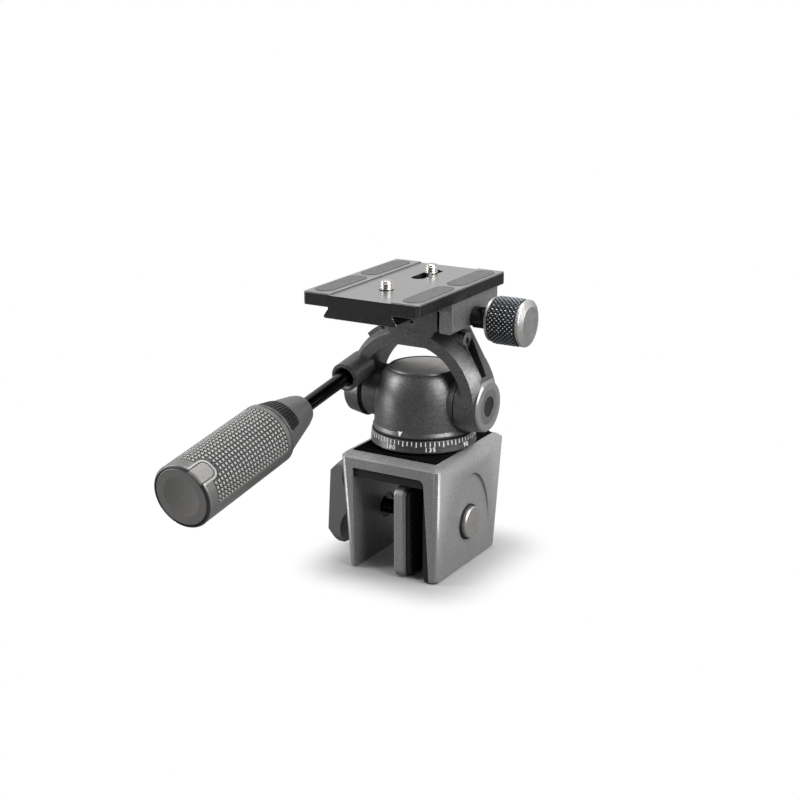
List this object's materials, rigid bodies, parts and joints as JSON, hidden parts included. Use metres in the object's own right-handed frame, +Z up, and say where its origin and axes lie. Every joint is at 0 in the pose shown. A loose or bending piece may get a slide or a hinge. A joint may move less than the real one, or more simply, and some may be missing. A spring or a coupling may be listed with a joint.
{
  "type": "two-way pan head",
  "caption": "Two-way pan and tilt camera head with an offset handle and a sliding quick-release plate, carried on a window clamp.",
  "frame": {"origin": "on the pan axis, at the underside of the bridge liner, where the window glass's edge meets the clamp", "axes": "+Z up along the pan axis; +X along the tilt axis towards the quick-release knob; -Y towards the user, where the handle points"},
  "size_m": [0.1044, 0.1862, 0.1464],
  "materials": {
    "clamp_paint": "fine textured light grey paint over a light-alloy casting",
    "head_paint": "fine sparkling dark gunmetal paint over a light-alloy casting",
    "black_rubber": "moulded black rubber, matt",
    "friction_black": "dark low-friction plastic, matt",
    "turned_steel": "turned and zinc plated",
    "black_steel": "blackened and polished",
    "ring_metal": "turned, satin grey, white marks",
    "brass": "turned",
    "satin_metal": "satin grey",
    "knob_black": "black anodised, diamond knurled",
    "moulded_grey": "moulded warm grey, matt",
    "grip_rubber": "moulded warm grey rubber, matt",
    "anodised_black": "black anodised, bright chamfers",
    "pad_rubber": "fine dimpled grey rubber",
    "bright_nickel": "bright nickel plate"
  },
  "bodies": {
    "window_clamp": {"clamp_body": "clamp_paint", "top_pad": "black_rubber", "bridge_liner": "black_rubber", "fixed_jaw_pad": "black_rubber", "bore_plug": "satin_metal", "plug_seal": "black_rubber", "spindle_bush": "brass", "scale_ring": "ring_metal", "pan_post": "turned_steel", "pan_nut": "turned_steel"},
    "window_jaw": {"window_jaw": "clamp_paint", "window_jaw_pad": "black_rubber", "jaw_retainer": "turned_steel"},
    "window_screw": {"clamp_spindle": "black_steel", "wing_knob": "moulded_grey", "knob_pin": "turned_steel"},
    "pan_head": {"pan_friction_disc": "friction_black", "head_body": "head_paint", "top_cap": "satin_metal", "cap_ring": "turned_steel", "brass_washer": "brass"},
    "tilt_frame": {"yoke": "head_paint", "axle_right": "turned_steel", "axle_left": "turned_steel", "axle_plug": "friction_black", "friction_washers": "friction_black", "arm_screw": "turned_steel", "socket_ring": "head_paint", "clamp_base": "head_paint", "base_screws": "turned_steel"},
    "brake_plunger": {"lock_plunger": "turned_steel"},
    "release_jaw": {"release_jaw": "head_paint", "jaw_guide_pins": "turned_steel"},
    "release_knob": {"lead_screw": "black_steel", "knob_core": "satin_metal", "knob_sleeve": "knob_black", "knob_cap": "satin_metal"},
    "camera_plate": {"camera_plate": "anodised_black", "plate_pads": "pad_rubber", "stop_pins": "turned_steel"},
    "front_screw": {"front_camera_screw": "bright_nickel"},
    "slot_washer": {"slot_washer": "turned_steel"},
    "rear_screw": {"rear_camera_screw": "bright_nickel"},
    "pan_handle": {"handle_rod": "black_steel", "handle_neck": "moulded_grey", "ribbed_insert": "friction_black", "grip_collar": "moulded_grey", "grip_core": "moulded_grey", "grip_sleeve": "grip_rubber", "end_cap": "moulded_grey", "cap_tab": "moulded_grey"}
  },
  "joints": [
    {"name": "window_jaw_slide", "type": "slide", "parent": "window_clamp", "child": "window_jaw", "axis": [1, 0, 0], "range_m": [-0.01675, 0.00625]},
    {"name": "window_screw_spin", "type": "hinge", "parent": "window_jaw", "child": "window_screw", "pos_m": [0, 0, -0.025], "axis": [1, 0, 0], "range_deg": [-4826, 1802]},
    {"name": "pan", "type": "hinge", "parent": "window_clamp", "child": "pan_head", "pos_m": [0, 0, 0], "axis": [0, 0, 1], "continuous": true},
    {"name": "tilt", "type": "hinge", "parent": "pan_head", "child": "tilt_frame", "pos_m": [0, 0, 0.0347], "axis": [1, 0, 0], "range_deg": [-90, 35]},
    {"name": "handle_twist", "type": "hinge", "parent": "tilt_frame", "child": "pan_handle", "pos_m": [-0.03, -0.0245, 0.0454], "axis": [0, 0.9874, 0.1582], "range_deg": [-90, 120]},
    {"name": "brake_slide", "type": "slide", "parent": "tilt_frame", "child": "brake_plunger", "axis": [0, 0.9874, 0.1582], "range_m": [-0.00032, 0.00042]},
    {"name": "release_jaw_slide", "type": "slide", "parent": "tilt_frame", "child": "release_jaw", "axis": [1, 0, 0], "range_m": [0, 0.003]},
    {"name": "release_knob_spin", "type": "hinge", "parent": "release_jaw", "child": "release_knob", "pos_m": [0, 0, 0.0774], "axis": [1, 0, 0], "range_deg": [-1, 1081]},
    {"name": "plate_slide", "type": "slide", "parent": "tilt_frame", "child": "camera_plate", "axis": [0, 1, 0], "range_m": [-0.0021, 0.0353]},
    {"name": "front_screw_spin", "type": "hinge", "parent": "camera_plate", "child": "front_screw", "pos_m": [0, -0.0348, 0.0946], "axis": [0, 0, 1], "continuous": true},
    {"name": "slot_washer_slide", "type": "slide", "parent": "camera_plate", "child": "slot_washer", "axis": [0, 1, 0], "range_m": [-0.0118, 0.004]},
    {"name": "rear_screw_spin", "type": "hinge", "parent": "slot_washer", "child": "rear_screw", "pos_m": [0, 0.0066, 0.0946], "axis": [0, 0, 1], "continuous": true}
  ],
  "couplings": [
    {"joint": "window_screw_spin", "follows": "window_jaw_slide", "rad_per_m": 5026.5},
    {"joint": "release_knob_spin", "follows": "release_jaw_slide", "rad_per_m": 6283.2},
    {"joint": "brake_slide", "follows": "handle_twist", "m_per_rad": 0.00019894}
  ]
}
